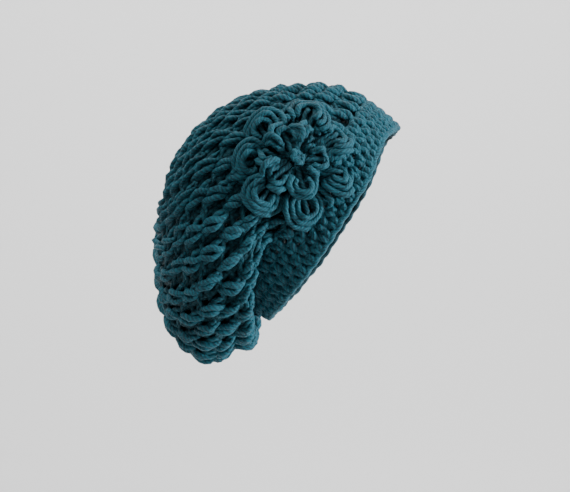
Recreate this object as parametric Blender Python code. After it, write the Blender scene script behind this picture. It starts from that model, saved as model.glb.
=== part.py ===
"""Slouchy crocheted beanie with a sewn-on flower, shaped as it hangs when worn.

The wearer faces +X, +Z is up and the flower is on the wearer's right, -Y. The origin is the centre
of the head opening. Sizes are metres. Each round of the hat is a loop that runs through one point of
the hat's top outline, one point of its low outline and its two sides. The section table holds those
places as shares of the named sizes, and functions work out everything between them.
"""

import math
from collections import namedtuple

import bmesh
import bpy
from mathutils import Vector
from mathutils.bvhtree import BVHTree

# Driving sizes of the hat
HAT_LENGTH = 0.2214  # front rim to the back of the slouch
HAT_HEIGHT = 0.2547  # top of the head to the bottom of the slouch
HAT_HALF_WIDTH = 0.108  # middle to the widest side
CROWN_WALL = 0.0080  # thickness of the bulky double crochet
BRIM_WALL = 0.0072  # thickness of the single crochet band
CLEARANCE = 0.0003  # gap between pieces that touch

# Rounds of stitches, which show as ribs
CROWN_ROUNDS = 12
CROWN_RIB_DEPTH = 0.0026
BRIM_ROWS = 4
BRIM_RIB_DEPTH = 0.0014
STEPS_PER_RIB = 2
RING_SEGMENTS = 64
FOLD_DEPTH = 0.0085  # the deepest fold of the slouch

# Flower of two layers of petals and an eye, laid on the wearer's right side
FLOWER_X = -0.032  # its middle, from the head opening's centre
FLOWER_Z = 0.0525
FLOWER_RADIUS = 0.060  # middle to the tip of an outer petal
FLOWER_NARROWING = 0.17  # of its width against its height
FLOWER_YAW = math.radians(20.0)  # faced from straight sideways towards the front
FLOWER_PITCH = math.radians(12.0)  # and upwards
WRAP_DEPTH = 0.100  # the point that the flower wraps round, below its middle
PETAL_WALL = 0.0060
PETAL_RISE = 0.0070  # a petal's rim above its hollow
FLOWER_SEGMENTS = 84
SEAT_GAP = 0.0009  # a layer's underside above what it lies on
RIM_THICKNESS = 0.40  # a petal's edge, as a share of its wall
FAR_OUTSIDE = 0.300  # beyond the hat from the wrapped point
SEAT_SAMPLES = [i / 7 for i in range(8)]  # places tested across each face of an underside

Section = namedtuple("Section", "top_x top_z low_x low_z half_width bow_high bow_low taper")

# The first three rows are the brim, from the rim to its top edge. Each other row ends a round of the
# crown. top and low places are shares of HAT_LENGTH and HAT_HEIGHT, half_width is a share of
# HAT_HALF_WIDTH. bow_high and bow_low, shares of HAT_LENGTH, push the sides of a loop towards the rim
# above and below its middle. taper narrows the lower half of a loop.
BRIM_SECTIONS = (
    Section(0.272, 0.346, -0.264, -0.336, 0.78, 0.030, 0.045, 0.00),
    Section(0.215, 0.394, -0.330, -0.300, 0.79, 0.027, 0.040, 0.00),
    Section(0.150, 0.438, -0.398, -0.258, 0.82, 0.020, 0.035, 0.00),
)
CROWN_SECTIONS = (
    Section(0.069, 0.477, -0.348, -0.336, 0.89, -0.060, -0.020, 0.02),
    Section(-0.020, 0.497, -0.305, -0.420, 0.95, -0.105, -0.065, 0.04),
    Section(-0.102, 0.500, -0.388, -0.473, 0.98, -0.115, 0.040, 0.06),
    Section(-0.179, 0.495, -0.483, -0.493, 1.00, -0.120, 0.050, 0.08),
    Section(-0.256, 0.483, -0.578, -0.465, 0.99, -0.120, 0.060, 0.08),
    Section(-0.337, 0.464, -0.650, -0.406, 0.94, -0.110, 0.060, 0.08),
    Section(-0.418, 0.430, -0.696, -0.330, 0.86, -0.085, 0.040, 0.07),
    Section(-0.492, 0.387, -0.716, -0.243, 0.74, -0.055, 0.020, 0.06),
    Section(-0.557, 0.336, -0.727, -0.157, 0.59, -0.030, 0.005, 0.05),
    Section(-0.614, 0.267, -0.725, -0.069, 0.41, -0.010, -0.005, 0.03),
    Section(-0.653, 0.189, -0.709, 0.010, 0.21, 0.000, -0.005, 0.01),
    Section(-0.687, 0.098, -0.687, 0.098, 0.00, 0.000, 0.000, 0.00),
)
SECTIONS = BRIM_SECTIONS + CROWN_SECTIONS
BRIM_SPAN = len(BRIM_SECTIONS) - 1
LAST_ROW = len(SECTIONS) - 1

Dent = namedtuple("Dent", "row angle depth row_spread angle_spread")

# Folds and dents of the slouch, the same on both sides. row counts sections from the rim, angle runs
# from the top outline (0) over a side to the low outline (180). depth is a share of FOLD_DEPTH and the
# spreads are how fast a dent fades.
DENTS = (
    Dent(5.0, 180.0, 1.00, 0.50, 32.0),
    Dent(5.6, 138.0, 0.47, 0.70, 24.0),
    Dent(2.5, 150.0, 0.35, 0.50, 40.0),
    Dent(8.6, 116.0, 0.35, 0.90, 20.0),
    Dent(9.6, 60.0, 0.30, 0.90, 24.0),
)

Layer = namedtuple("Layer", "name petals turn radius valley wall rise hollow rings")

# Layers of the flower from the hat outwards. turn is the first petal's direction in degrees from
# straight up towards the face. radius, wall and rise are shares of FLOWER_RADIUS, PETAL_WALL and
# PETAL_RISE. valley is the radius between two petals and hollow the place of a rim's crest, both as
# shares of the layer's radius.
LAYERS = (
    Layer("petals_outer", 7, 18.0, 1.00, 0.78, 1.00, 0.86, 0.80, 7),
    Layer("petals_inner", 6, 28.0, 0.62, 0.72, 1.00, 1.00, 0.74, 5),
    Layer("flower_eye", 6, 58.0, 0.20, 0.88, 0.83, 0.43, 0.60, 3),
)


def spline(values, place):
    """Smooth curve through evenly spaced values, read at a place counted in values."""
    last = len(values) - 1
    index = min(max(int(math.floor(place)), 0), last - 1)
    t = place - index
    p1, p2 = values[index], values[index + 1]
    p0 = values[index - 1] if index > 0 else 2 * p1 - p2
    p3 = values[index + 2] if index < last - 1 else 2 * p2 - p1
    linear = p2 - p0
    square = 2 * p0 - 5 * p1 + 4 * p2 - p3
    cube = 3 * p1 - p0 - 3 * p2 + p3
    return p1 + 0.5 * t * (linear + t * (square + t * cube))


def section_at(row):
    """Section at any row between the rim and the crown's middle."""
    return Section(*(spline(column, row) for column in zip(*SECTIONS)))


def smooth_point(row, angle):
    """Point on the hat's outer surface before dents and ribs."""
    section = section_at(row)
    top = Vector((section.top_x * HAT_LENGTH, 0.0, section.top_z * HAT_HEIGHT))
    low = Vector((section.low_x * HAT_LENGTH, 0.0, section.low_z * HAT_HEIGHT))
    reach = (top - low) / 2
    cosine, sine = math.cos(angle), math.sin(angle)
    towards_rim = Vector((reach.z, 0.0, -reach.x)).normalized()
    low_share = ((1 - cosine) / 2) ** 2
    bow = section.bow_high * (1 - low_share) + section.bow_low * low_share
    side = -section.half_width * HAT_HALF_WIDTH * sine * (1 + section.taper * cosine)
    across = Vector((0.0, side, 0.0))
    return (top + low) / 2 + reach * cosine + across + towards_rim * bow * HAT_LENGTH * sine ** 2


def outward(row, angle):
    """Direction straight out of the hat's smooth surface."""
    step = 0.02
    row = min(max(row, step), LAST_ROW - 4 * step)
    along = smooth_point(row + step, angle) - smooth_point(row - step, angle)
    around = smooth_point(row, angle + step) - smooth_point(row, angle - step)
    return along.cross(around).normalized()


def dent_depth(row, angle):
    """How far the dents press the surface in at a place."""
    degrees = math.degrees(angle) % 360.0
    from_top = min(degrees, 360.0 - degrees)
    depth = 0.0
    for dent in DENTS:
        along = (row - dent.row) / dent.row_spread
        around = (from_top - dent.angle) / dent.angle_spread
        depth += dent.depth * math.exp(-along ** 2 - around ** 2)
    return depth * FOLD_DEPTH


def ring_at(row, inset, valley):
    """One loop of the hat's surface, a wall's inset below the outside and down in a rib's valley."""
    points = []
    for index in range(RING_SEGMENTS):
        angle = 2 * math.pi * index / RING_SEGMENTS
        sink = inset + valley + dent_depth(row, angle)
        points.append(smooth_point(row, angle) - outward(row, angle) * sink)
    return points


def fabric(name, linear_colour, roughness):
    """Matt yarn material."""
    material = bpy.data.materials.new(name)
    material.use_nodes = True
    shader = material.node_tree.nodes["Principled BSDF"]
    shader.inputs["Base Color"].default_value = (*linear_colour, 1.0)
    shader.inputs["Roughness"].default_value = roughness
    shader.inputs["Metallic"].default_value = 0.0
    return material


def add_object(name, form, material):
    """Finish a bmesh as a named object with one material."""
    bmesh.ops.recalc_face_normals(form, faces=form.faces)
    mesh = bpy.data.meshes.new(name)
    form.to_mesh(mesh)
    form.free()
    thing = bpy.data.objects.new(name, mesh)
    bpy.context.scene.collection.objects.link(thing)
    mesh.materials.append(material)
    mesh.shade_smooth()
    return thing


def join_rings(form, first, second):
    """Quads between two loops of vertices with the same count."""
    for index in range(len(first)):
        form.faces.new((first[index - 1], first[index], second[index], second[index - 1]))


def add_skin(form, rings):
    """Surface through a list of loops of points, given back as loops of vertices."""
    loops = [[form.verts.new(point) for point in ring] for ring in rings]
    for first, second in zip(loops, loops[1:]):
        join_rings(form, first, second)
    return loops


def add_fan(form, loop, point):
    """Close a loop with triangles to a point."""
    centre = form.verts.new(point)
    for index in range(len(loop)):
        form.faces.new((loop[index - 1], loop[index], centre))


def ribbed_rings(first_row, last_row, ribs, depth):
    """Loops of the outer surface from one row to another, with a valley at each rib's ends."""
    steps = ribs * STEPS_PER_RIB
    rings = []
    for step in range(steps + 1):
        valley = depth * (1 - abs(math.sin(math.pi * step / STEPS_PER_RIB)))
        rings.append(ring_at(first_row + (last_row - first_row) * step / steps, 0.0, valley))
    return rings


def plain_rings(first_row, last_row, count, inset):
    """Loops of the inner surface."""
    rows = [first_row + (last_row - first_row) * step / count for step in range(count + 1)]
    return [ring_at(row, inset, 0.0) for row in rows]


def build_brim(material):
    """Band of single crochet rows round the head."""
    form = bmesh.new()
    outer = add_skin(form, ribbed_rings(0.0, BRIM_SPAN, BRIM_ROWS, BRIM_RIB_DEPTH))
    inner = add_skin(form, plain_rings(0.0, BRIM_SPAN, BRIM_ROWS, BRIM_WALL))
    join_rings(form, outer[0], inner[0])
    join_rings(form, outer[-1], inner[-1])
    return add_object("brim", form, material)


def build_crown(material):
    """Slouching bag of double crochet rounds, closed at its middle."""
    row_length = (smooth_point(BRIM_SPAN, 0.0) - smooth_point(BRIM_SPAN + 1, 0.0)).length
    first_row = BRIM_SPAN + 2 * CLEARANCE / row_length
    form = bmesh.new()
    outer = add_skin(form, ribbed_rings(first_row, LAST_ROW, CROWN_ROUNDS, CROWN_RIB_DEPTH)[:-1])
    inner = add_skin(form, plain_rings(first_row, LAST_ROW, CROWN_ROUNDS, CROWN_WALL)[:-1])
    join_rings(form, outer[0], inner[0])
    pole = smooth_point(LAST_ROW, 0.0)
    out = outward(LAST_ROW, 0.0)
    add_fan(form, outer[-1], pole)
    add_fan(form, inner[-1], pole - out * CROWN_WALL)
    return add_object("crown", form, material)


class Wrap:
    """Places on and above the pieces built so far, seen from a point inside the hat."""

    def __init__(self, things):
        self.trees = [self.tree_of(thing) for thing in things]
        self.forward = Vector((math.cos(FLOWER_YAW), math.sin(FLOWER_YAW), 0.0))
        level = Vector((math.sin(FLOWER_YAW), -math.cos(FLOWER_YAW), 0.0))
        upright = Vector((0.0, 0.0, 1.0))
        self.out = level * math.cos(FLOWER_PITCH) + upright * math.sin(FLOWER_PITCH)
        self.up = upright * math.cos(FLOWER_PITCH) - level * math.sin(FLOWER_PITCH)
        beside = Vector((FLOWER_X, -FAR_OUTSIDE, FLOWER_Z))
        hits = [tree.ray_cast(beside, Vector((0.0, 1.0, 0.0)))[0] for tree in self.trees]
        nearest = min((hit for hit in hits if hit is not None), key=lambda hit: hit.y)
        self.centre = nearest - self.out * WRAP_DEPTH

    def tree_of(self, thing):
        """Search tree of one piece."""
        form = bmesh.new()
        form.from_mesh(thing.data)
        tree = BVHTree.FromBMesh(form)
        form.free()
        return tree

    def direction(self, arc, turn):
        """Direction at an arc length from the flower's middle and a turn from straight up."""
        tilt = arc / WRAP_DEPTH
        sideways = self.forward * math.sin(turn) + self.up * math.cos(turn)
        return self.out * math.cos(tilt) + sideways * math.sin(tilt)

    def distance(self, arc, turn):
        """Distance from the centre to the outermost surface at a place."""
        return self.reach(self.direction(arc, turn))

    def reach(self, direction):
        """Distance from the centre to the outermost surface in a direction."""
        start = self.centre + direction * FAR_OUTSIDE
        hits = [tree.ray_cast(start, -direction)[3] for tree in self.trees]
        return FAR_OUTSIDE - min(hit for hit in hits if hit is not None)

    def point(self, place, distance):
        """Point above a place, which is an arc length and a turn."""
        return self.centre + self.direction(*place) * distance

    def seats(self, places):
        """Distances that clear the surface all over a grid of places."""
        seats = [[self.distance(*place) + SEAT_GAP for place in ring] for ring in places]
        lifts = [[0.0] * len(ring) for ring in places]
        for i in range(len(places) - 1):
            for j in range(len(places[i])):
                corners = ((i, j - 1), (i, j), (i + 1, j), (i + 1, j - 1))
                lift = self.lift_over(corners, places, seats)
                for row, column in corners:
                    lifts[row][column] = max(lifts[row][column], lift)
        return [[a + b for a, b in zip(*pair)] for pair in zip(seats, lifts)]

    def lift_over(self, corners, places, seats):
        """How far one face of the grid has to rise to clear what lies under it."""
        flat = [self.point(places[i][j], seats[i][j]) for i, j in corners]
        lift = 0.0
        for s in SEAT_SAMPLES:
            for t in SEAT_SAMPLES:
                over = (flat[0] * (1 - s) + flat[1] * s) * (1 - t)
                over += (flat[3] * (1 - s) + flat[2] * s) * t
                offset = over - self.centre
                under = self.reach(offset.normalized())
                lift = max(lift, under + SEAT_GAP - offset.length)
        return lift


def petal_share(layer, turn):
    """How near a direction is to a petal's middle, from 0 between two petals to 1."""
    return abs(math.cos(layer.petals * (turn - math.radians(layer.turn)) / 2))


def layer_outline(layer, turn):
    """Radius of a layer's scalloped edge."""
    scallop = layer.valley + (1 - layer.valley) * petal_share(layer, turn) ** 0.7
    radius = layer.radius * FLOWER_RADIUS
    return radius * scallop * (1 - FLOWER_NARROWING * math.sin(turn) ** 2)


def layer_thickness(layer, share, turn):
    """Thickness of a layer at a share of the way to its edge."""
    petal = petal_share(layer, turn)
    crest = petal ** 0.5 * math.exp(-((share - layer.hollow) / 0.16) ** 2)
    groove = 1 - 0.45 * (1 - petal) * share
    edge = 1 - (1 - RIM_THICKNESS) * max(0.0, (share - 0.85) / 0.15)
    return (layer.wall * PETAL_WALL * groove + layer.rise * PETAL_RISE * crest) * edge


def build_layer(layer, wrap, material):
    """One layer of the flower, seated on what lies under it."""
    turns = [2 * math.pi * index / FLOWER_SEGMENTS for index in range(FLOWER_SEGMENTS)]
    shares = [math.sin(math.pi / 2 * i / layer.rings) for i in range(layer.rings + 1)]
    places = [[(share * layer_outline(layer, turn), turn) for turn in turns] for share in shares]
    low_rings = []
    high_rings = []
    for share, ring, seats in zip(shares, places, wrap.seats(places)):
        low_rings.append([wrap.point(place, seat) for place, seat in zip(ring, seats)])
        highs = [
            seat + layer_thickness(layer, share, place[1]) for place, seat in zip(ring, seats)
        ]
        high_rings.append([wrap.point(place, high) for place, high in zip(ring, highs)])
    form = bmesh.new()
    low = add_skin(form, low_rings[1:])
    high = add_skin(form, high_rings[1:])
    join_rings(form, low[-1], high[-1])
    middle_seat = max(wrap.seats(places[:2])[0])
    middle_high = middle_seat + layer_thickness(layer, 0.0, 0.0)
    add_fan(form, low[0], wrap.point((0.0, 0.0), middle_seat))
    add_fan(form, high[0], wrap.point((0.0, 0.0), middle_high))
    return add_object(layer.name, form, material)


def main():
    """Build every piece of the hat."""
    for thing in list(bpy.data.objects):
        bpy.data.objects.remove(thing)
    yarn = fabric("teal_yarn", (0.012, 0.055, 0.070), 0.8)
    built = [build_brim(yarn), build_crown(yarn)]
    for layer in LAYERS:
        built.append(build_layer(layer, Wrap(built), yarn))


main()
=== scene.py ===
"""Looks of the slouchy crocheted beanie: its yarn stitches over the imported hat, in a pale studio.

The hat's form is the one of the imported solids: the same loops, given as shares of the sizes that
the frame's boxes measure. Each stitch is modelled once as a few strands of bulky yarn, repeated
along its round and bent onto that form. Lengths are metres.
"""

import logging
import math
from dataclasses import dataclass, field
from enum import Enum
from functools import partial
from typing import Callable, Protocol, Sequence

import bpy
import numpy as np
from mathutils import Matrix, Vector
from mathutils.bvhtree import BVHTree

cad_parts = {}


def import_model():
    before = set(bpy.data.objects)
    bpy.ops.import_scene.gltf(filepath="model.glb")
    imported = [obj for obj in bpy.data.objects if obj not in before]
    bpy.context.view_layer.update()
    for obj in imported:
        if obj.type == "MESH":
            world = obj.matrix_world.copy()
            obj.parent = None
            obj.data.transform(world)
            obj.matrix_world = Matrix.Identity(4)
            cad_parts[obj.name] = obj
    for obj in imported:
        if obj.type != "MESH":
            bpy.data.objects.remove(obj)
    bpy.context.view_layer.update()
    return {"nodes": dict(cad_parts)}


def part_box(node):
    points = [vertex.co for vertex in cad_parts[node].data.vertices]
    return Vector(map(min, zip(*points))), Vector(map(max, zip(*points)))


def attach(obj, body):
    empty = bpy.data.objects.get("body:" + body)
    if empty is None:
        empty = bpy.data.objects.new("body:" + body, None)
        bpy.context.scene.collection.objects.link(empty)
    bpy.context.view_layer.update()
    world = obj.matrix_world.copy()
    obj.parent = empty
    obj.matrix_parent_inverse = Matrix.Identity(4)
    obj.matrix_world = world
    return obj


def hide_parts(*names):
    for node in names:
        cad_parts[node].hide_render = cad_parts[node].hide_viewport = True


LOG = logging.getLogger("beanie")
MM = 0.001
TURN = 2 * math.pi
YARN_UV = "yarn"
# The vertex attribute of each strand's depth in the fabric, which the yarn's colour reads to paint
# shade on the deeper strands.
YARN_DEPTH = "depth"
YARN_SIDES = 8

Array = np.ndarray
Point = tuple[float, float, float]
Piece = bpy.types.Object
Material = bpy.types.Material
Tree = bpy.types.NodeTree
Socket = bpy.types.NodeSocket

MATH = "ShaderNodeMath"
WEIGHTED_SUM = {"operation": "MULTIPLY_ADD"}


class Side(Enum):
    """Places of the lights round the hat, as azimuth and elevation in degrees."""

    WINDOW = (82.0, 3.0)
    ABOVE = (-35.0, 55.0)


@dataclass(frozen=True)
class Section:
    """One loop of the hat, as shares of its length, height and half width."""

    top_x: float
    top_z: float
    low_x: float
    low_z: float
    half_width: float
    bow_high: float
    bow_low: float
    taper: float


@dataclass(frozen=True)
class Dent:
    """A fold or dent: its row, its angle from the top, its depth and how fast it fades."""

    row: float
    angle: float
    depth: float
    row_spread: float
    angle_spread: float


# The loops from the rim to the crown's middle. The first three are the band's.
SECTIONS = (
    Section(0.272, 0.346, -0.264, -0.336, 0.78, 0.030, 0.045, 0.00),
    Section(0.215, 0.394, -0.330, -0.300, 0.79, 0.027, 0.040, 0.00),
    Section(0.150, 0.438, -0.398, -0.258, 0.82, 0.020, 0.035, 0.00),
    Section(0.069, 0.477, -0.348, -0.336, 0.89, -0.060, -0.020, 0.02),
    Section(-0.020, 0.497, -0.305, -0.420, 0.95, -0.105, -0.065, 0.04),
    Section(-0.102, 0.500, -0.388, -0.473, 0.98, -0.115, 0.040, 0.06),
    Section(-0.179, 0.495, -0.483, -0.493, 1.00, -0.120, 0.050, 0.08),
    Section(-0.256, 0.483, -0.578, -0.465, 0.99, -0.120, 0.060, 0.08),
    Section(-0.337, 0.464, -0.650, -0.406, 0.94, -0.110, 0.060, 0.08),
    Section(-0.418, 0.430, -0.696, -0.330, 0.86, -0.085, 0.040, 0.07),
    Section(-0.492, 0.387, -0.716, -0.243, 0.74, -0.055, 0.020, 0.06),
    Section(-0.557, 0.336, -0.727, -0.157, 0.59, -0.030, 0.005, 0.05),
    Section(-0.614, 0.267, -0.725, -0.069, 0.41, -0.010, -0.005, 0.03),
    Section(-0.653, 0.189, -0.709, 0.010, 0.21, 0.000, -0.005, 0.01),
    Section(-0.687, 0.098, -0.687, 0.098, 0.00, 0.000, 0.000, 0.00),
)
BRIM_SPAN = 2
LAST_ROW = len(SECTIONS) - 1

# The rounds twist about the crown's middle, by so many radians for each squared row past a start.
SPIRAL = 0.03
SPIRAL_START = 5.4

# The fold between band and bag at the low back, and shallower dents in the bag.
FOLD_DEPTH = 8.5 * MM
DENTS = (
    Dent(5.0, 180.0, 1.00, 0.50, 32.0),
    Dent(5.6, 138.0, 0.47, 0.70, 24.0),
    Dent(2.5, 150.0, 0.35, 0.50, 40.0),
    Dent(8.6, 116.0, 0.35, 0.90, 20.0),
    Dent(9.6, 60.0, 0.30, 0.90, 24.0),
)

# Shares of the form's sizes that the boxes of the ribbed solids span.
SPAN_OF_LENGTH = 0.9953
SPAN_OF_HEIGHT = 0.9834
SPAN_OF_HALF_WIDTH = 1.0023

# The surface's directions are read this far to each side of a spot, in rows and in radians.
DIRECTION_STEP = 0.02

# A strand along a round runs past each end of its stitch by this share, into its neighbour.
JOIN_OVERLAP = 0.04

# The hand's unevenness along, up and out. Each wave is its radians a millimetre in x, y and z,
# and its start. The two long waves of a direction are added and the two short ones multiplied.
# Out of the fabric the strands stray half as far.
STRAY_SHARES = (1.0, 1.0, 0.5)
LONG_WAVES = (
    ((0.17, 0.11, -0.09, 0.0), (-0.07, 0.05, 0.21, 1.3)),
    ((-0.14, 0.0, 0.16, 2.1), (0.09, 0.23, 0.0, 0.4)),
    ((0.22, 0.0, 0.06, 4.0), (0.0, 0.15, -0.18, 5.2)),
)
SHORT_WAVES = (
    ((0.41, 0.0, -0.33, 0.7), (0.0, 0.37, 0.21, 0.0)),
    ((0.0, 0.29, 0.38, 1.9), (0.43, 0.0, 0.0, 2.4)),
    ((-0.40, 0.35, 0.0, 3.1), (0.0, 0.0, 0.39, 0.9)),
)


@dataclass
class Spots:
    """Places on a surface with the directions along the round, up the round and out of it."""

    point: Array
    along: Array
    up: Array
    out: Array


class Ground(Protocol):
    """A surface that strands are laid on."""

    def spots(self, across: Array, upwards: Array) -> Spots:
        """Spots of the surface at places of the stitch pattern."""
        ...


def unit(vectors: Array) -> Array:
    """Vectors scaled to length one."""
    return vectors / np.maximum(np.linalg.norm(vectors, axis=-1, keepdims=True), 1e-12)


def degrees_from_top(angles: Array) -> Array:
    """Degrees from the hat's top, from 0 to 180, down either side."""
    degrees = np.degrees(angles) % 360.0
    return np.minimum(degrees, 360.0 - degrees)


def sines(points: Array, waves: Sequence) -> Array:
    """Sines of a table of waves at points, by direction and wave."""
    table = np.array(waves)
    return np.sin(np.tensordot(points / MM, table[..., :3], axes=([-1], [-1])) + table[..., 3])


def uneven(points: Array) -> Array:
    """Smooth strays of the strands along, up and out, mostly from -1 to 1."""
    return (sines(points, LONG_WAVES).sum(axis=-1) + sines(points, SHORT_WAVES).prod(axis=-1)) / 2


def deselect_all() -> None:
    """Leave nothing selected, so that an operator acts on its own piece only."""
    bpy.ops.object.select_all(action="DESELECT")


def make_active(thing: Piece) -> None:
    """Select one object alone and make it active.

    Args:
        thing: the object.
    """
    deselect_all()
    thing.select_set(True)
    bpy.context.view_layer.objects.active = thing


@dataclass
class HatForm:
    """The hat's outer surface as loops from the rim (row 0) to the crown's middle."""

    length: float = 0.0
    height: float = 0.0
    half_width: float = 0.0

    def measure(self) -> None:
        """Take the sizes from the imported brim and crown."""
        brim_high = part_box("brim")[1]
        crown_low, crown_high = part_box("crown")
        self.length = (brim_high.x - crown_low.x) / SPAN_OF_LENGTH
        self.height = (crown_high.z - crown_low.z) / SPAN_OF_HEIGHT
        self.half_width = (crown_high.y - crown_low.y) / 2 / SPAN_OF_HALF_WIDTH

    def column(self, name: str, rows: Array) -> Array:
        """One column of the section table, read smoothly at any rows.

        Args:
            name: the column's field in the sections.
            rows: rows from the rim, whole or in parts.

        Returns:
            The column's values there, on a smooth curve through the table's own.
        """
        values = np.array([getattr(section, name) for section in SECTIONS])
        index = np.clip(np.floor(rows).astype(int), 0, LAST_ROW - 1)
        t = rows - index
        p1, p2 = values[index], values[index + 1]
        p0 = np.where(index > 0, values[np.maximum(index - 1, 0)], 2 * p1 - p2)
        p3 = np.where(index < LAST_ROW - 1, values[np.minimum(index + 2, LAST_ROW)], 2 * p2 - p1)
        slope = p2 - p0
        square = 2 * p0 - 5 * p1 + 4 * p2 - p3
        cube = 3 * p1 - p0 - 3 * p2 + p3
        return p1 + 0.5 * t * (slope + t * (square + t * cube))

    def middle_line(self, end: str, rows: Array) -> Array:
        """Points of the loops in the hat's middle plane.

        Args:
            end: top or low, the loops' upper or lower end.
            rows: rows from the rim.

        Returns:
            The points.
        """
        x = self.column(f"{end}_x", rows) * self.length
        z = self.column(f"{end}_z", rows) * self.height
        return np.stack([x, np.zeros_like(x), z], axis=-1)

    def smooth(self, rows: Array, angles: Array) -> Array:
        """Points of the surface before its dents.

        Args:
            rows: rows from the rim.
            angles: radians from the top.

        Returns:
            The points.
        """
        top, low = self.middle_line("top", rows), self.middle_line("low", rows)
        reach = (top - low) / 2
        zero = np.zeros_like(rows)
        cosine, sine = np.cos(angles), np.sin(angles)
        to_rim = unit(np.stack([reach[..., 2], zero, -reach[..., 0]], axis=-1))
        low_share = ((1 - cosine) / 2) ** 2
        bow = self.column("bow_high", rows) * (1 - low_share)
        bow += self.column("bow_low", rows) * low_share
        half_width = self.column("half_width", rows) * self.half_width
        side = -half_width * sine * (1 + self.column("taper", rows) * cosine)
        across = np.stack([zero, side, zero], axis=-1)
        push = (bow * self.length * sine**2)[..., None]
        return (top + low) / 2 + reach * cosine[..., None] + across + to_rim * push

    def dents(self, rows: Array, angles: Array) -> Array:
        """How far the dents press the surface in.

        Args:
            rows: rows from the rim.
            angles: radians from the top.

        Returns:
            The depths.
        """
        from_top = degrees_from_top(angles)
        depth = np.zeros_like(rows)
        for dent in DENTS:
            along = (rows - dent.row) / dent.row_spread
            around = (from_top - dent.angle) / dent.angle_spread
            depth += dent.depth * FOLD_DEPTH * np.exp(-(along**2) - around**2)
        return depth

    def spots(self, rows: Array, angles: Array) -> Spots:
        """Spots of the surface with its dents.

        Args:
            rows: rows from the rim.
            angles: radians from the top.

        Returns:
            The spots. Close to the middle they take their directions from a little before it.
        """
        step = DIRECTION_STEP
        inner = np.clip(rows, step, LAST_ROW - 4 * step)
        up = self.smooth(inner + step, angles) - self.smooth(inner - step, angles)
        along = unit(self.smooth(inner, angles + step) - self.smooth(inner, angles - step))
        out = unit(np.cross(up, along))
        point = self.smooth(rows, angles) - out * self.dents(rows, angles)[..., None]
        return Spots(point, along, np.cross(along, out), out)


@dataclass(frozen=True)
class RimCurve:
    """How the rim curves back on both sides, in rows, at an angle from the top."""

    depth: float = 0.34
    angle: float = 36.0
    spread: float = 20.0

    def trim(self, angles: Array) -> Array:
        """Rows that the rim lies back at these angles."""
        off = (degrees_from_top(angles) - self.angle) / self.spread
        return self.depth * np.exp(-(off**2))


@dataclass
class RoundGround:
    """A stretch of the hat that one round or row of stitches covers."""

    form: HatForm
    first_row: float
    last_row: float
    stitches: int
    pitch: float
    rise: float
    phase: float = 0.0

    def spots(self, across: Array, upwards: Array) -> Spots:
        """Spots of the hat at places of the stitch pattern.

        Args:
            across: lengths along the round, in the pattern's own size.
            upwards: lengths up the round, in the pattern's own size.

        Returns:
            The spots.
        """
        angles = (across / self.pitch + self.phase) / self.stitches * TURN
        rows = self.first_row + upwards / self.rise * (self.last_row - self.first_row)
        rows += RimCurve().trim(angles) * np.clip(1 - rows / BRIM_SPAN, 0, 1)
        angles += SPIRAL * np.maximum(rows - SPIRAL_START, 0) ** 2
        return self.form.spots(rows, angles)


@dataclass(frozen=True)
class Strand:
    """One strand of yarn in a stitch.

    Its path gives its middle along, up and out of the fabric, for a share of it from 0 to 1.
    Its swell is the share that its radius grows by in the middle.
    """

    path: Callable[[float], Point]
    radius: float
    swell: float = 0.0


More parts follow.
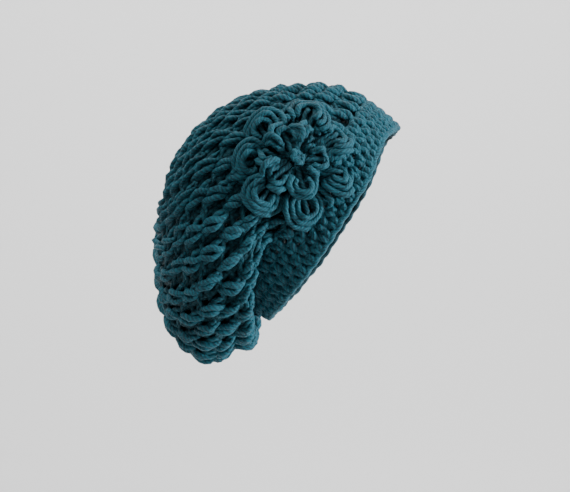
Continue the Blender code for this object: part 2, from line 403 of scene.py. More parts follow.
@dataclass
class StitchPattern:
    """A stitch as strands of yarn, modelled once and repeated along a round."""

    name: str
    pitch: float
    strands: Sequence[Strand]
    rings: int

    def model(self) -> Piece:
        """Model one stitch as tubes of yarn.

        Returns:
            The mesh object, whose vertices run by strand, by ring and round each ring.
        """
        deselect_all()
        bpy.ops.curve.primitive_bezier_curve_add()
        stitch = bpy.context.object
        stitch.name = self.name
        curve = stitch.data
        curve.dimensions = "3D"
        curve.twist_mode = "MINIMUM"
        curve.bevel_depth = 1.0
        curve.bevel_resolution = (YARN_SIDES - 4) // 2
        curve.splines.clear()
        for strand in self.strands:
            spline = curve.splines.new("POLY")
            spline.points.add(self.rings - 1)
            for index, point in enumerate(spline.points):
                share = index / (self.rings - 1)
                point.co = (*strand.path(share), 1.0)
                point.radius = strand.radius * (1 + strand.swell * math.sin(math.pi * share))
        bpy.ops.object.convert(target="MESH")
        stitch = bpy.context.object
        bpy.ops.object.mode_set(mode="EDIT")
        bpy.ops.mesh.select_all(action="SELECT")
        bpy.ops.mesh.fill_holes(sides=YARN_SIDES)
        bpy.ops.mesh.select_all(action="SELECT")
        bpy.ops.mesh.normals_make_consistent(inside=False)
        bpy.ops.object.mode_set(mode="OBJECT")
        self.lay_uv(stitch)
        return stitch

    def lay_uv(self, stitch: Piece) -> None:
        """Give the tubes a map of millimetres along the yarn by turns round it.

        Args:
            stitch: the single stitch.
        """
        mesh = stitch.data
        while mesh.uv_layers:
            mesh.uv_layers.remove(mesh.uv_layers[0])
        layer = mesh.uv_layers.new(name=YARN_UV)
        centres = strand_rings(mesh, self.rings).mean(axis=2)
        steps = np.linalg.norm(np.diff(centres, axis=1), axis=-1)
        lengths = np.concatenate([np.zeros((len(centres), 1)), np.cumsum(steps, axis=1)], axis=1)
        lengths = lengths.reshape(-1) / MM
        for face in mesh.polygons:
            sides = [vertex % YARN_SIDES for vertex in face.vertices]
            over_seam = len(sides) == 4 and 0 in sides and YARN_SIDES - 1 in sides
            for loop, vertex, side in zip(face.loop_indices, face.vertices, sides):
                turn = YARN_SIDES if over_seam and side == 0 else side
                layer.data[loop].uv = (lengths[vertex // YARN_SIDES], turn / YARN_SIDES)

    def repeat(self, stitch: Piece, count: int) -> None:
        """Repeat the stitch along its round.

        Args:
            stitch: the single stitch.
            count: the round's stitches.
        """
        make_active(stitch)
        array = stitch.modifiers.new("round", "ARRAY")
        array.use_relative_offset = False
        array.use_constant_offset = True
        array.constant_offset_displace = (self.pitch, 0.0, 0.0)
        array.count = count
        bpy.ops.object.modifier_apply(modifier=array.name)

    def lay(self, stitch: Piece, ground: Ground, looseness: float) -> None:
        """Bend the strands onto a surface and keep the yarn's thickness.

        Args:
            stitch: the repeated stitch, flat.
            ground: the surface.
            looseness: how far the strands stray from their even places.
        """
        rings = strand_rings(stitch.data, self.rings)
        centres = rings.mean(axis=2)
        spots = ground.spots(centres[..., 0], centres[..., 1])
        moved = uneven(spots.point) * looseness * STRAY_SHARES
        moved[..., 2] += centres[..., 2]
        offsets = rings - centres[:, :, None, :] + moved[:, :, None, :]
        axes = np.stack([spots.along, spots.up, spots.out], axis=-2)
        laid = spots.point[:, :, None, :] + offsets @ axes
        stitch.data.vertices.foreach_set("co", laid.astype(np.float32).ravel())
        # Keep each vertex's depth in the fabric for the yarn's painted shade.
        depth = stitch.data.attributes.new(YARN_DEPTH, "FLOAT", "POINT")
        depth.data.foreach_set("value", rings[..., 2].astype(np.float32).ravel())
        stitch.data.update()


def strand_rings(mesh: bpy.types.Mesh, rings: int) -> Array:
    """Read the vertices of a mesh of strands.

    Args:
        mesh: the mesh.
        rings: the rings of each strand.

    Returns:
        The vertices by strand, ring and side.
    """
    flat = np.zeros(len(mesh.vertices) * 3, np.float32)
    mesh.vertices.foreach_get("co", flat)
    return flat.astype(float).reshape(-1, rings, YARN_SIDES, 3)


# Acrylic staple spun into thick soft plies. The eye sees a twisted strand, lighter and a little
# cooler where each ply crowns and dark in its groove, matt, with a faint sheen from loose fibres,
# and nearly black between the stitches. The dark in the ply grooves and between the stitches is
# painted shade: the colour darkens from crown to groove and on strands that lie deep in the fabric.
# Real fibres are 0.02 mm thick, too fine to show, so they are drawn 0.5 mm wide.
@dataclass(frozen=True)
class BulkyYarn:
    """Bulky acrylic yarn of four plies.

    Its noises are the plies' wander, the fibres and the dye's patches, each as millimetres and
    detail.
    """

    name: str = "bulky_acrylic_yarn"
    # The ramp from groove to crown paints shade into the ply grooves; the dye's patches and the
    # fibres shift along it too.
    groove_hex: str = "#192f38"
    body_hex: str = "#21404a"
    crown_hex: str = "#275a67"
    groove_stop: float = 0.5
    body_stop: float = 0.8
    plies: int = 4
    ply_pitch_mm: float = 3.2
    ply_weight: float = 0.35
    noises: tuple[tuple[float, float], ...] = ((2.5, 2.0), (0.5, 3.0), (9.0, 1.0))
    patch_weight: float = 0.5
    # Painted shade: strands deeper in the fabric than shallow_mm darken, down to deep_shade at
    # deep_mm.
    shallow_mm: float = 3.2
    deep_mm: float = 8.5
    deep_shade: float = 0.16
    bump_mm: float = 0.5
    bump_strength: float = 0.6
    fibre_relief: float = 1.4
    roughness: float = 0.62
    specular: float = 0.25
    specular_hex: str = "#9fe6f2"
    sheen: float = 0.06
    sheen_roughness: float = 0.4
    sheen_hex: str = "#8cc4cf"

    def material(self) -> Material:
        """Build the material with its ply twist, fibres and painted shade in its grooves and
        depths.

        Returns:
            The material, whose twist follows the yarn's own map.
        """
        material = bpy.data.materials.new(self.name)
        material.use_nodes = True
        tree = material.node_tree
        shader = tree.nodes["Principled BSDF"]
        for socket, value in (
            ("Roughness", self.roughness),
            ("Sheen Weight", self.sheen),
            ("Sheen Roughness", self.sheen_roughness),
            ("Sheen Tint", linear(self.sheen_hex)),
            ("Specular IOR Level", self.specular),
            ("Specular Tint", linear(self.specular_hex)),
        ):
            shader.inputs[socket].default_value = value
        where = add_node(tree, "ShaderNodeTexCoord", {}).outputs["Object"]
        noises = [
            {"Vector": where, "Scale": 1 / (size_mm * MM), "Detail": detail}
            for size_mm, detail in self.noises
        ]
        wander, fibre, patch = (
            add_node(tree, "ShaderNodeTexNoise", {}, noise).outputs["Fac"] for noise in noises
        )
        ply = self.ply_height(tree, wander)
        colour = self.colour(tree, ply, fibre, patch)
        relief = add_node(tree, MATH, WEIGHTED_SUM, {0: fibre, 1: self.fibre_relief, 2: ply})
        bump = add_node(tree, "ShaderNodeBump", {}, {"Height": relief.outputs[0]})
        bump.inputs["Distance"].default_value = self.bump_mm * MM
        bump.inputs["Strength"].default_value = self.bump_strength
        tree.links.new(colour, shader.inputs["Base Color"])
        tree.links.new(bump.outputs["Normal"], shader.inputs["Normal"])
        return material

    def ply_height(self, tree: Tree, wander: Socket) -> Socket:
        """Height of the plies that wind round the yarn.

        Args:
            tree: the material's nodes.
            wander: the noise that the plies stray by.

        Returns:
            The height, from 0 in a groove to 1 on a crown.
        """
        place = add_node(tree, "ShaderNodeUVMap", {"uv_map": YARN_UV}).outputs["UV"]
        lay = (1 / self.ply_pitch_mm, float(self.plies), 0.0)
        dot = {"operation": "DOT_PRODUCT"}
        twist = add_node(tree, "ShaderNodeVectorMath", dot, {0: place, 1: lay}).outputs["Value"]
        turns = add_node(tree, MATH, {"operation": "ADD"}, {0: twist, 1: wander}).outputs[0]
        angle = add_node(tree, MATH, {"operation": "MULTIPLY"}, {0: turns, 1: TURN}).outputs[0]
        wave = add_node(tree, MATH, {"operation": "SINE"}, {0: angle}).outputs[0]
        limits = {"Value": wave, "From Min": -1.0, "From Max": 1.0}
        return add_node(tree, "ShaderNodeMapRange", {}, limits).outputs[0]

    def colour(self, tree: Tree, ply: Socket, fibre: Socket, patch: Socket) -> Socket:
        """Colour of the yarn, with painted shade that darkens it in its ply grooves and deep in the
        fabric.

        Args:
            tree: the material's nodes.
            ply: the plies' height.
            fibre: the fibres' noise.
            patch: the noise of the dye's uneven patches.

        Returns:
            The colour.
        """
        # The ply height mixed in here paints shade into the ply grooves.
        plies = add_node(tree, MATH, WEIGHTED_SUM, {0: ply, 1: self.ply_weight, 2: fibre})
        shades = {0: patch, 1: self.patch_weight, 2: plies.outputs[0]}
        shade = add_node(tree, MATH, WEIGHTED_SUM, shades)
        ramp = add_node(tree, "ShaderNodeValToRGB", {}, {"Fac": shade.outputs[0]})
        stops = ramp.color_ramp.elements
        stops[0].position, stops[0].color = self.groove_stop, linear(self.groove_hex)
        stops[1].position, stops[1].color = 1.0, linear(self.crown_hex)
        stops.new(self.body_stop).color = linear(self.body_hex)
        # Painted shade: the colour darkens on the strands that lie deep in the fabric.
        level = add_node(tree, "ShaderNodeAttribute", {"attribute_name": YARN_DEPTH})
        painted_depth_shade = add_node(
            tree,
            "ShaderNodeMapRange",
            {"interpolation_type": "SMOOTHSTEP"},
            {
                "Value": level.outputs["Fac"],
                "From Min": -self.deep_mm * MM,
                "From Max": -self.shallow_mm * MM,
                "To Min": self.deep_shade,
                "To Max": 1.0,
            },
        )
        shaded = {0: ramp.outputs["Color"], "Scale": painted_depth_shade.outputs[0]}
        scale = {"operation": "SCALE"}
        return add_node(tree, "ShaderNodeVectorMath", scale, shaded).outputs["Vector"]


# Matt emulsion, rolled on. Its stipple is far finer than a pixel at the camera's distance, so the
# eye gets an even pale grey with no gloss.
@dataclass(frozen=True)
class PalePaint:
    """Matt pale studio paint."""

    name: str = "matt_studio_paint"
    colour_hex: str = "#e2e2e2"
    roughness: float = 0.9

    def material(self) -> Material:
        """Build the material, even all over.

        Returns:
            The material.
        """
        material = bpy.data.materials.new(self.name)
        material.use_nodes = True
        shader = material.node_tree.nodes["Principled BSDF"]
        shader.inputs["Base Color"].default_value = linear(self.colour_hex)
        shader.inputs["Roughness"].default_value = self.roughness
        return material


def linear(hex_colour: str) -> tuple[float, float, float, float]:
    """Turn an sRGB hex value to a linear colour.

    Args:
        hex_colour: the value, as #rrggbb.

    Returns:
        The linear red, green and blue, and full opacity.
    """
    channels = [int(hex_colour[i : i + 2], 16) / 255 for i in (1, 3, 5)]
    red, green, blue = (
        c / 12.92 if c <= 0.04045 else ((c + 0.055) / 1.055) ** 2.4 for c in channels
    )
    return (red, green, blue, 1.0)


def add_node(tree: Tree, kind: str, settings: dict, inputs: dict | None = None) -> bpy.types.Node:
    """Add a node with its settings, and its inputs as values or links.

    Args:
        tree: the material's nodes.
        kind: Blender's name of the node.
        settings: the node's own properties.
        inputs: input names or numbers to values or other nodes' outputs.

    Returns:
        The new node.
    """
    node = tree.nodes.new(kind)
    for name, value in settings.items():
        setattr(node, name, value)
    for name, value in (inputs or {}).items():
        if isinstance(value, Socket):
            tree.links.new(value, node.inputs[name])
        else:
            node.inputs[name].default_value = value
    return node


def make_piece(
    pattern: StitchPattern,
    count: int,
    ground: Ground,
    looseness: float,
    name: str,
    material: Material,
    replaced: str | None = None,
) -> None:
    """Model, lay, dress and attach one piece.

    Args:
        pattern: its stitch.
        count: how many times the stitch is repeated.
        ground: the surface that it lies on.
        looseness: how far its strands stray.
        name: its name.
        material: its yarn.
        replaced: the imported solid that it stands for.
    """
    piece = pattern.model()
    pattern.repeat(piece, count)
    pattern.lay(piece, ground, looseness)
    piece.name = name
    piece.data.name = name
    make_active(piece)
    bpy.ops.object.shade_smooth()
    piece.data.materials.clear()
    piece.data.materials.append(material)
    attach(piece, "root")
    if replaced:
        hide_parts(replaced)
    LOG.info("%s: %d faces", name, len(piece.data.polygons))


@dataclass(frozen=True)
class Wave:
    """A strand's sway up and down the fabric and its lift out of it, in each stitch."""

    sway: float
    lift: float
    start: float

    def point(self, pitch: float, upwards: float, depth: float, share: float) -> Point:
        """Middle of the strand, which runs a little past the stitch at both ends.

        Args:
            pitch: the stitch's length along the round.
            upwards: the strand's height up the round.
            depth: how deep it lies in the fabric.
            share: how far along it.

        Returns:
            The place.
        """
        place = JOIN_OVERLAP * (2 * share - 1) + share
        turn = TURN * place + self.start
        sway, lift = self.sway * math.cos(turn), self.lift * math.sin(turn)
        return (place * pitch, upwards + sway, lift - depth)

    def strand(self, pitch: float, upwards: float, depth: float, radius: float) -> Strand:
        """A strand that runs along the round in this wave."""
        return Strand(partial(self.point, pitch, upwards, depth), radius)


@dataclass
class Crown:
    """The slouching bag: rounds of tall stitches with open gaps between their posts.

    The chain runs along each round's end, and the cross and the bar lie behind the gaps, deep in
    the fabric, where the painted depth shade darkens them. Strand sizes that end in yarns are
    shares of the yarn's radius.
    """

    form: HatForm
    material: Material
    counts: tuple[int, ...] = (33, 33, 33, 32, 30, 26, 23, 19, 15, 12, 9, 6)
    pitch: float = 20.5 * MM
    rise: float = 18.8 * MM
    yarn: float = 2.6 * MM
    lean: float = 7.0 * MM
    looseness: float = 1.9 * MM
    post_yarns: float = 1.02
    post_swell: float = 0.16
    post_start: float = 0.3
    post_twist: float = 1.2 * math.pi
    post_overlap: float = 0.8 * MM
    post_flatness: float = 0.8
    twist_radius: float = 2.9 * MM
    twist_ends: float = 0.85
    twist_bulge: float = 0.2
    belly: float = 4.4 * MM
    depth: float = 6.0 * MM
    chain_yarns: float = 0.88
    chain_waves: tuple[Wave, ...] = tuple(
        Wave(1.9 * MM, 0.9 * MM, start) for start in (0.0, math.pi)
    )
    chain_depth: float = 7.6 * MM
    cross_yarns: float = 1.45
    cross_swell: float = 0.1
    cross_gap: float = 0.02
    bar_yarns: float = 1.6
    bar_wave: Wave = Wave(1.5 * MM, 0.0, 0.8)
    back_depth: float = 10.4 * MM
    rings: int = 9
    girth_points: int = 73

    def slopes(self, row: float, count: int) -> tuple[float, float]:
        """How steeply the posts of a round lean, from the spiral and in all.

        Args:
            row: the row at the round's middle.
            count: the round's stitches.

        Returns:
            The spiral's slope and the whole slope, as lengths along the round for one up it.
        """
        angles = np.linspace(0.0, TURN, self.girth_points)
        points = self.form.spots(np.full_like(angles, row), angles).point
        girth = float(np.linalg.norm(np.diff(points, axis=0), axis=1).sum())
        spiral = 2 * SPIRAL * max(row - SPIRAL_START, 0.0) * girth / TURN / self.rise
        return spiral, spiral + self.lean / self.rise * girth / (count * self.pitch)

    def post_point(self, start: float, spiral: float, slope: float, share: float) -> Point:
        """Middle of one of the three strands that wind round each other in a leaning post.

        Args:
            start: where it starts round the post, in radians.
            spiral: the spiral's part of the post's slope.
            slope: the post's whole slope, which its winding is squared up to.
            share: how far up the post.

        Returns:
            The place.
        """
        stretch = (1 + spiral * slope) / math.hypot(1, slope)
        drop = slope / math.hypot(1, slope)
        turn = start + self.post_twist * (share - 0.5)
        middle = (self.pitch - self.lean) / 2 + self.lean * share
        bulge = math.sin(math.pi * share)
        radius = self.twist_radius * (self.twist_ends + self.twist_bulge * bulge)
        sideways = radius * math.cos(turn)
        lifted = self.belly * (bulge - 0.5) + self.post_flatness * radius * math.sin(turn)
        upwards = (self.rise + 2 * self.post_overlap) * share - self.post_overlap
        return (middle + stretch * sideways, upwards - drop * sideways, lifted - self.depth)

    def cross_point(self, share: float) -> Point:
        """Middle of the strand that crosses behind the gap, as slanted as the posts."""
        upwards = self.rise * (self.cross_gap + (1 - 2 * self.cross_gap) * share)
        return (self.lean * (share - 0.5), upwards, -self.back_depth)

    def pattern(self, spiral: float, slope: float) -> StitchPattern:
        """The tall stitch with its chain of loops along the round's end.

        Args:
            spiral: the spiral's part of the posts' slope.
            slope: the posts' whole slope.

        Returns:
            The pattern.
        """
        pitch, rise, yarn = self.pitch, self.rise, self.yarn
        posts = [
            Strand(
                partial(self.post_point, self.post_start + third * TURN / 3, spiral, slope),
                yarn * self.post_yarns,
                self.post_swell,
            )
            for third in range(3)
        ]
        chain = [
            wave.strand(pitch, rise, self.chain_depth, yarn * self.chain_yarns)
            for wave in self.chain_waves
        ]
        cross = Strand(self.cross_point, yarn * self.cross_yarns, self.cross_swell)
        bar = self.bar_wave.strand(pitch, rise / 2, self.back_depth, yarn * self.bar_yarns)
        return StitchPattern("tall_stitch", pitch, (*posts, *chain, cross, bar), self.rings)

    def build(self) -> None:
        """Lay every round from the brim's edge to the middle."""
        for index, count in enumerate(self.counts):
            first = BRIM_SPAN + index
            pattern = self.pattern(*self.slopes(first + 0.5, count))
            ground = RoundGround(self.form, first, first + 1, count, self.pitch, self.rise)
            name = f"crown_round_{index + 1:02d}"
            replaced = "crown" if index == 0 else None
            make_piece(pattern, count, ground, self.looseness, name, self.material, replaced)


@dataclass
class Brim:
    """The band of short stitches round the opening, with a plain edge at the rim.

    Strand sizes that end in yarns are shares of the yarn's radius.
    """

    form: HatForm
    material: Material
    rows: int = 4
    stitches: int = 50
    pitch: float = 12.0 * MM
    rise: float = 9.0 * MM
    yarn: float = 2.7 * MM
    looseness: float = 1.2 * MM
    depth: float = 4.2 * MM
    leg_lean: float = 3.4 * MM
    leg_foot: float = 0.35
    leg_belly: float = 1.8 * MM
    leg_overlap: float = 0.2 * MM
    leg_yarns: float = 0.95
    leg_swell: float = 0.2
    loop_wave: Wave = Wave(1.0 * MM, 0.7 * MM, 0.5)
    loop_depth: float = 3.6 * MM
    loop_yarns: float = 0.9
    back_wave: Wave = Wave(1.2 * MM, 0.5 * MM, 0.0)
    back_depth: float = 6.8 * MM
    back_yarns: float = 1.4
    edge_rise: float = 0.4 * MM
    edge_sway: float = 0.5 * MM
    edge_lift: float = 0.4 * MM
    edge_yarns: float = 0.95
    edge_looseness: float = 0.5
    edge_strands: tuple[tuple[float, float], ...] = ((0.0, 2.6 * MM), (1.2, 6.2 * MM))
    rings: int = 8

    def leg_point(self, lean: float, share: float) -> Point:
        """Middle of one leg of a short stitch's V.

        Args:
            lean: how far the leg's top stands to the side.
            share: how far up it.

        Returns:
            The place.
        """
        across = self.pitch / 2 + lean * (self.leg_foot + (1 - self.leg_foot) * share)
        upwards = (self.rise + 2 * self.leg_overlap) * share - self.leg_overlap
        return (across, upwards, self.leg_belly * math.sin(math.pi * share) - self.depth)

    def pattern(self) -> StitchPattern:
        """The short stitch with its top loop and the strand behind.

        Returns:
            The pattern.
        """
        pitch, rise, yarn = self.pitch, self.rise, self.yarn
        legs = [
            Strand(partial(self.leg_point, lean), yarn * self.leg_yarns, self.leg_swell)
            for lean in (-self.leg_lean, self.leg_lean)
        ]
        loop = self.loop_wave.strand(pitch, rise, self.loop_depth, yarn * self.loop_yarns)
        back = self.back_wave.strand(pitch, rise / 2, self.back_depth, yarn * self.back_yarns)
        return StitchPattern("short_stitch", pitch, (*legs, loop, back), self.rings)

    def edge(self) -> StitchPattern:
        """The chain along the rim, one strand at the outside and one within."""
        strands = [
            Wave(self.edge_sway, self.edge_lift, start).strand(
                self.pitch, self.edge_rise, depth, self.yarn * self.edge_yarns
            )
            for start, depth in self.edge_strands
        ]
        return StitchPattern("edge_chain", self.pitch, strands, self.rings)

    def build(self) -> None:
        """Lay the rows from the rim to the crown, then the edge."""
        row, edge, count, loose = self.pattern(), self.edge(), self.stitches, self.looseness
        step, size = BRIM_SPAN / self.rows, (count, self.pitch, self.rise)
        for index in range(self.rows):
            first, shift = index * step, 0.5 * (index % 2)
            ground = RoundGround(self.form, first, first + step, *size, shift)
            replaced = "brim" if index == 0 else None
            name = f"brim_row_{index + 1}"
            make_piece(row, count, ground, loose, name, self.material, replaced)
        rim = RoundGround(self.form, 0.0, step, *size)
        make_piece(edge, count, rim, loose * self.edge_looseness, "brim_edge", self.material)


def search_tree(solid: Piece) -> BVHTree:
    """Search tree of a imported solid."""
    vertices = [vertex.co.copy() for vertex in solid.data.vertices]
    return BVHTree.FromPolygons(vertices, [tuple(face.vertices) for face in solid.data.polygons])


@dataclass
class FlowerGround:
    """The flower's surface, seen from a point inside the hat that it wraps round.

    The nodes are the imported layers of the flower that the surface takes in, over the hat.
    """

    packed: dict[str, Piece]
    nodes: tuple[str, ...]
    centre_x: float = -32.0 * MM
    centre_z: float = 52.5 * MM
    yaw: float = math.radians(20.0)
    pitch: float = math.radians(12.0)
    wrap_depth: float = 100.0 * MM
    far: float = 0.3
    forward: Vector = field(init=False)
    up: Vector = field(init=False)
    out: Vector = field(init=False)
    centre: Vector = field(init=False)
    trees: list[BVHTree] = field(init=False)

    def __post_init__(self) -> None:
        """Find the flower's axes and its place on the hat."""
        level = Vector((math.sin(self.yaw), -math.cos(self.yaw), 0.0))
        upright = Vector((0.0, 0.0, 1.0))
        self.forward = Vector((math.cos(self.yaw), math.sin(self.yaw), 0.0))
        self.out = level * math.cos(self.pitch) + upright * math.sin(self.pitch)
        self.up = upright * math.cos(self.pitch) - level * math.sin(self.pitch)
        hat = [search_tree(self.packed[name]) for name in ("brim", "crown")]
        beside = Vector((self.centre_x, -self.far, self.centre_z))
        hits = [tree.ray_cast(beside, Vector((0.0, 1.0, 0.0)))[0] for tree in hat]
        nearest = min((hit for hit in hits if hit is not None), key=lambda hit: hit.y)
        self.centre = nearest - self.out * self.wrap_depth
        self.trees = hat + [search_tree(self.packed[name]) for name in self.nodes]

    def reach(self, direction: Vector) -> float:
        """Distance from the centre to the outermost surface in a direction.

        Args:
            direction: the direction, of length one.

        Returns:
            The distance.
        """
        start = self.centre + direction * self.far
        hits = [tree.ray_cast(start, -direction)[3] for tree in self.trees]
        return self.far - min(hit for hit in hits if hit is not None)

    def spots(self, across: Array, upwards: Array) -> Spots:
        """Spots of the surface at places of the flower's plane.

        Args:
            across: lengths from the flower's middle towards the hat's front.
            upwards: lengths from the middle up.

        Returns:
            The spots.
        """
        arc = np.hypot(across, upwards) / self.wrap_depth
        turn = np.arctan2(across, upwards)
        forward, up, out = (np.array(v) for v in (self.forward, self.up, self.out))
        sideways = np.sin(turn)[..., None] * forward + np.cos(turn)[..., None] * up
        ray = out * np.cos(arc)[..., None] + sideways * np.sin(arc)[..., None]
        flat = ray.reshape(-1, 3)
        reach = np.array([self.reach(Vector(direction)) for direction in flat])
        point = np.array(self.centre) + flat * reach[:, None]
        along = unit(forward - ray * (ray @ forward)[..., None])
        return Spots(point.reshape(ray.shape), along, np.cross(ray, along), ray)


@dataclass(frozen=True)
class Petal:
    """One petal: its direction in degrees, its middle's distance and its half sizes."""

    turn: float
    middle: float
    half_length: float
    half_width: float

    def place(self, along: float, aside: float) -> tuple[float, float]:
        """Place in the flower's plane of a point of the petal.

        Args:
            along: how far it lies outwards from the petal's middle.
            aside: how far it lies to the petal's side.

        Returns:
            The lengths across and up from the flower's middle.
        """
        turn = math.radians(self.turn)
        radius = self.middle + along
        return (
            radius * math.sin(turn) + aside * math.cos(turn),
            radius * math.cos(turn) - aside * math.sin(turn),
        )


OUTER_PETALS = (
    Petal(20.0, 44.0 * MM, 18.0 * MM, 23.0 * MM),
    Petal(60.0, 42.0 * MM, 17.0 * MM, 18.0 * MM),
    Petal(103.0, 37.0 * MM, 16.0 * MM, 20.0 * MM),
    Petal(164.0, 39.0 * MM, 21.0 * MM, 22.0 * MM),
    Petal(222.0, 38.0 * MM, 17.0 * MM, 20.0 * MM),
    Petal(268.0, 35.0 * MM, 17.0 * MM, 20.0 * MM),
    Petal(320.0, 36.0 * MM, 17.0 * MM, 22.0 * MM),
)
INNER_PETALS = (
    Petal(335.0, 18.0 * MM, 13.0 * MM, 14.0 * MM),
    Petal(40.0, 22.0 * MM, 14.0 * MM, 15.0 * MM),
    Petal(92.0, 17.0 * MM, 14.0 * MM, 13.5 * MM),
    Petal(165.0, 20.0 * MM, 13.0 * MM, 13.0 * MM),
    Petal(230.0, 21.0 * MM, 13.0 * MM, 14.0 * MM),
    Petal(283.0, 22.0 * MM, 12.0 * MM, 13.0 * MM),
)


@dataclass
class PetalLayer:
    """A ring of petals, each of arched strands round a hollow over short posts.

    The arches are given by their shares of the petal's size. The cup raises the larger ones and
    sinks the smaller ones.
    """

    name: str
    node: str
    petals: tuple[Petal, ...]
    arches: tuple[float, ...]
    material: Material
    cup: float
    posts: int = 5
    yarn: float = 2.6 * MM
    looseness: float = 1.1 * MM
    depth: float = 3.0 * MM
    arch_swing: float = 2.5
    arch_overlap: float = 2.2 * MM
    level_arch: float = 0.7
    ripple: float = 0.03
    ripples: float = 60.0
    post_inner: float = -1.1
    post_length: float = 1.8
    post_aside: float = 0.75
    post_foot: float = 0.35
    # The posts lie deeper under the arches, where the painted depth shade darkens the hollows.
    post_sunk: float = 4.6 * MM
    rings: int = 20

    def arch_point(self, petal: Petal, size: float, share: float) -> Point:
        """Middle of an arched strand, open inwards and lying over its neighbour at one side.

        Args:
            petal: the petal.
            size: the arch's share of it.
            share: how far along the arch.

        Returns:
            The place.
        """
        swing = (share - 0.5) * 2 * self.arch_swing
        scale = size * (1 + self.ripple * math.sin(share * size * self.ripples))
        x, y = petal.place(
            (petal.half_length - self.yarn) * scale * math.cos(swing),
            (petal.half_width - self.yarn) * scale * math.sin(swing),
        )
        overlap = self.arch_overlap * math.sin(swing) * size
        return (x, y, overlap + self.cup * (size - self.level_arch) - self.depth)

    def post_point(self, petal: Petal, aside: float, share: float) -> Point:
        """Middle of a short post under the arches, which fans out from its foot.

        Args:
            petal: the petal.
            aside: the post's place to the side, as a share of the petal's half width.
            share: how far out along the post.

        Returns:
            The place.
        """
        along = petal.half_length * (self.post_inner + self.post_length * share)
        fan = self.post_foot + (1 - self.post_foot) * share
        x, y = petal.place(along, aside * petal.half_width * fan)
        return (x, y, -self.depth - self.post_sunk)

    def build(self, packed: dict[str, Piece]) -> None:
        """Model the petals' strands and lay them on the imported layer.

        Args:
            packed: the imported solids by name.
        """
        gaps = self.posts - 1
        asides = [self.post_aside * (2 * post / gaps - 1) for post in range(self.posts)]
        paths = []
        for petal in self.petals:
            paths += [partial(self.arch_point, petal, size) for size in self.arches]
            paths += [partial(self.post_point, petal, aside) for aside in asides]
        strands = [Strand(path, self.yarn) for path in paths]
        pattern = StitchPattern(self.name, 0.0, strands, self.rings)
        ground = FlowerGround(packed, (self.node,))
        make_piece(pattern, 1, ground, self.looseness, self.name, self.material, self.node)


@dataclass
class Eye:
    """The ring of small stitches in the flower's middle, which is a dimple."""

    material: Material
    radius: float = 4.6 * MM
    yarn: float = 2.3 * MM
    looseness: float = 0.3 * MM
    knots: int = 6
    knot_size: float = 0.8 * MM
    ring_depth: float = 3.2 * MM
    spoke_inner: float = 0.25
    spoke_length: float = 1.1
    spoke_depth: float = 3.4 * MM
    dimple: float = 4.0 * MM
    rings: int = 26

    def ring_point(self, share: float) -> Point:
        """Middle of the closing loop, wider at each knot.

        Args:
            share: how far round it.

        Returns:
            The place.
        """
        turn = TURN * share
        radius = self.radius + self.knot_size * math.sin(self.knots * turn)
        return (radius * math.sin(turn), radius * math.cos(turn), -self.ring_depth)

    def spoke_point(self, turn: float, share: float) -> Point:
        """Middle of a short stitch from the dimple to the ring.

        Args:
            turn: the stitch's direction, in radians from the flower's top.
            share: how far out along it.

        Returns:
            The place.
        """
        radius = self.radius * (self.spoke_inner + self.spoke_length * share)
        depth = self.spoke_depth + self.dimple * (1 - share) ** 2
        return (radius * math.sin(turn), radius * math.cos(turn), -depth)

    def build(self, packed: dict[str, Piece]) -> None:
        """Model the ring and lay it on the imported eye.

        Args:
            packed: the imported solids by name.
        """
        turns = [TURN * knot / self.knots for knot in range(self.knots)]
        paths = [self.ring_point, *(partial(self.spoke_point, turn) for turn in turns)]
        name = "flower_ring"
        strands = [Strand(path, self.yarn) for path in paths]
        pattern = StitchPattern(name, 0.0, strands, self.rings)
        ground = FlowerGround(packed, ("petals_outer", "petals_inner", "flower_eye"))
        make_piece(pattern, 1, ground, self.looseness, name, self.material, "flower_eye")


@dataclass(frozen=True)
class SoftBox:
    """A soft square light that faces the hat: its place, watts, size, distance and colour."""

    side: Side
    power: float
    size: float
    distance: float
    colour_hex: str
    spread: float = math.radians(40.0)

    def build(self, target: Vector) -> None:
        """Add the light.

        Args:
            target: the point that it faces.
        """
        azimuth, elevation = (math.radians(value) for value in self.side.value)
        level = math.cos(elevation)
        away = Vector((math.sin(azimuth) * level, -math.cos(azimuth) * level, math.sin(elevation)))
        bpy.ops.object.light_add(type="AREA", location=target + away * self.distance)
        lamp = bpy.context.object
        lamp.name = f"light_{self.side.name.lower()}"
        lamp.rotation_euler = away.to_track_quat("Z", "Y").to_euler()
        lamp.data.energy = self.power
        lamp.data.size = self.size
        lamp.data.color = linear(self.colour_hex)[:3]
        lamp.data.spread = self.spread


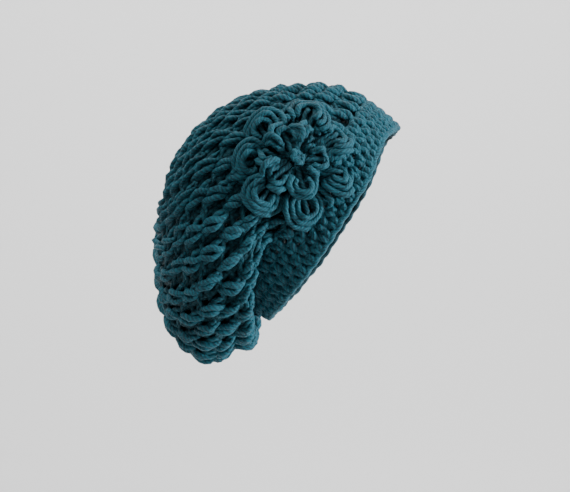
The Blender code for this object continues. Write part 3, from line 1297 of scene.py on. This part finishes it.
@dataclass
class Studio:
    """Pale sweep, soft lights and the camera at the photograph's angle."""

    floor_size: float = 6.0
    floor_y: float = -0.9
    floor_z: float = -0.34
    wall_height: float = 4.0
    bend: float = 1.2
    bend_segments: int = 16
    boxes: tuple[SoftBox, ...] = (
        SoftBox(Side.WINDOW, 3.6, 0.6, 1.5, "#eef8ff"),
        SoftBox(Side.ABOVE, 2.9, 1.0, 1.8, "#ffffff"),
    )
    wall_lamp_place: Point = (-0.05, 0.7, 1.9)
    wall_lamp_tilt: float = math.radians(50.0)
    wall_lamp_size: tuple[float, float] = (3.6, 0.8)
    wall_lamp_power: float = 124.0
    room_hex: str = "#f2f4f6"
    room_light: float = 0.17
    room_seen: float = 0.7
    photo_width: int = 570
    metres_per_pixel: float = 0.9 * MM
    distance: float = 1.6
    azimuth: float = math.radians(3.0)
    target: Point = (-43.2 * MM, 0.0, -18.9 * MM)
    sensor: float = 36.0

    def sweep(self) -> None:
        """Floor that curves up into a backdrop."""
        deselect_all()
        place = (0.0, self.floor_y, self.floor_z)
        bpy.ops.mesh.primitive_plane_add(size=self.floor_size, location=place)
        floor = bpy.context.object
        bpy.ops.object.mode_set(mode="EDIT")
        bpy.ops.mesh.select_mode(type="EDGE")
        bpy.ops.mesh.select_all(action="DESELECT")
        bpy.ops.object.mode_set(mode="OBJECT")
        for edge in floor.data.edges:
            ends = [floor.data.vertices[index].co.y for index in edge.vertices]
            edge.select = min(ends) > 0
        bpy.ops.object.mode_set(mode="EDIT")
        rise = {"value": (0.0, 0.0, self.wall_height)}
        bpy.ops.mesh.extrude_region_move(TRANSFORM_OT_translate=rise)
        bpy.ops.object.mode_set(mode="OBJECT")
        bend = floor.modifiers.new("bend", "BEVEL")
        bend.width = self.bend
        bend.segments = self.bend_segments
        bpy.ops.object.modifier_apply(modifier=bend.name)
        bpy.ops.object.transform_apply(location=True, rotation=True, scale=True)
        bpy.ops.object.shade_smooth()
        floor.name = "studio_sweep"
        floor.data.materials.append(PalePaint().material())

    def wall_light(self) -> None:
        """Light the backdrop behind the hat evenly, from above and out of sight."""
        bpy.ops.object.light_add(type="AREA", location=self.wall_lamp_place)
        lamp = bpy.context.object
        lamp.name = "light_wall"
        lamp.rotation_euler = (self.wall_lamp_tilt, 0.0, 0.0)
        lamp.data.shape = "RECTANGLE"
        lamp.data.size, lamp.data.size_y = self.wall_lamp_size
        lamp.data.energy = self.wall_lamp_power

    def world(self) -> None:
        """Even soft light from everywhere, behind walls as pale as the sweep."""
        world = bpy.data.worlds.new("studio")
        world.use_nodes = True
        tree = world.node_tree
        background = tree.nodes["Background"]
        background.inputs["Color"].default_value = linear(self.room_hex)
        seen = add_node(tree, "ShaderNodeLightPath", {}).outputs["Is Camera Ray"]
        strength = add_node(
            tree,
            "ShaderNodeMapRange",
            {},
            {"Value": seen, "To Min": self.room_light, "To Max": self.room_seen},
        )
        tree.links.new(strength.outputs[0], background.inputs["Strength"])
        bpy.context.scene.world = world

    def camera(self) -> None:
        """Camera at the photograph's angle and scale."""
        away = Vector((math.sin(self.azimuth), -math.cos(self.azimuth), 0.0))
        bpy.ops.object.camera_add(location=Vector(self.target) + away * self.distance)
        camera = bpy.context.object
        camera.name = "photo_camera"
        camera.rotation_euler = away.to_track_quat("Z", "Y").to_euler()
        camera.data.sensor_width = self.sensor
        photo_width = self.photo_width * self.metres_per_pixel
        camera.data.lens = self.sensor * self.distance / photo_width
        bpy.context.scene.camera = camera

    def build(self) -> None:
        """Set up the whole studio."""
        self.sweep()
        self.world()
        for box in self.boxes:
            box.build(Vector(self.target))
        self.wall_light()
        self.camera()


def main() -> None:
    logging.basicConfig(level=logging.INFO, format="%(name)s: %(message)s")
    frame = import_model()
    form = HatForm()
    form.measure()
    yarn = BulkyYarn().material()
    Brim(form, yarn).build()
    Crown(form, yarn).build()
    packed = frame["nodes"]
    outer_arches, inner_arches = (1.0, 0.72, 0.45), (1.0, 0.58)
    outer = PetalLayer(
        "outer_petals", "petals_outer", OUTER_PETALS, outer_arches, yarn, cup=3.0 * MM
    )
    inner = PetalLayer(
        "inner_petals", "petals_inner", INNER_PETALS, inner_arches, yarn, cup=5.0 * MM, posts=3
    )
    outer.build(packed)
    inner.build(packed)
    Eye(yarn).build(packed)
    Studio().build()


if __name__ == "__main__":
    main()
